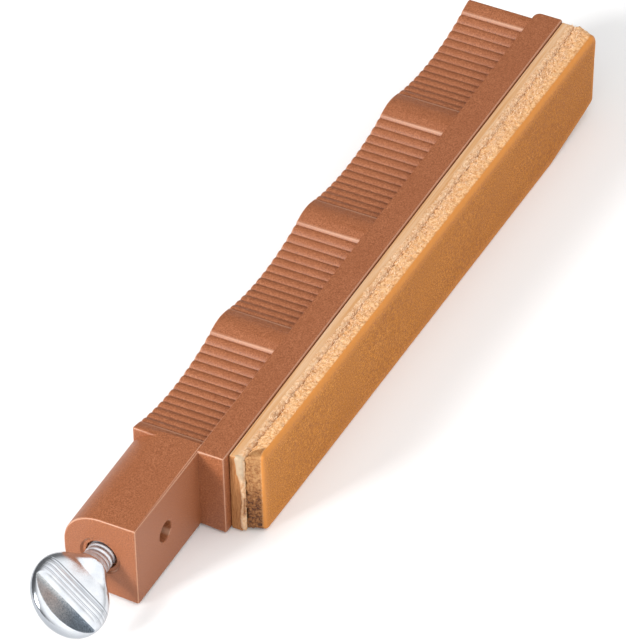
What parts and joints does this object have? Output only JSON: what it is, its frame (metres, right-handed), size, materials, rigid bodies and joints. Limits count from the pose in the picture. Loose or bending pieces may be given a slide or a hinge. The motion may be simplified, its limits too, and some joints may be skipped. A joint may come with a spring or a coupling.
{
  "type": "leather strop",
  "caption": "Leather-faced stropping hone: finger-grip plastic holder, backing strip and thick leather pad, with a guide rod hole clamped by a thumbscrew.",
  "frame": {"origin": "centre of the guide rod hole at the flat front face of the boss", "axes": "+X along the holder towards its far end, -Y the way the leather faces and the rod leaves, +Z across the width, up when the strop lies on its side"},
  "size_m": [0.1347, 0.0208, 0.014],
  "materials": {
    "holder_plastic": "fine matte moulded texture",
    "strip_wood": "smooth pale wood",
    "adhesive": "dried cream glue",
    "leather": "smooth tan grain face with pale fibrous cut edges",
    "screw_metal": "bright plated, lightly brushed"
  },
  "bodies": {
    "grip_body": {"holder": "holder_plastic", "backing_strip": "strip_wood", "holder_adhesive": "adhesive", "strop_adhesive": "adhesive", "leather_pad": "leather"},
    "screw_shank": {"thumbscrew_shank": "screw_metal"},
    "screw_head": {"thumbscrew_head": "screw_metal"}
  },
  "joints": [
    {"name": "screw_travel", "type": "slide", "parent": "grip_body", "child": "screw_shank", "axis": [1, 0, 0], "range_m": [-0.00397, 0.00158]},
    {"name": "screw_turn", "type": "hinge", "parent": "screw_shank", "child": "screw_head", "pos_m": [-0.0103, 0.0056, 0], "axis": [1, 0, 0], "range_deg": [-1802, 720]}
  ],
  "couplings": [
    {"joint": "screw_turn", "follows": "screw_travel", "rad_per_m": 7915.8}
  ]
}
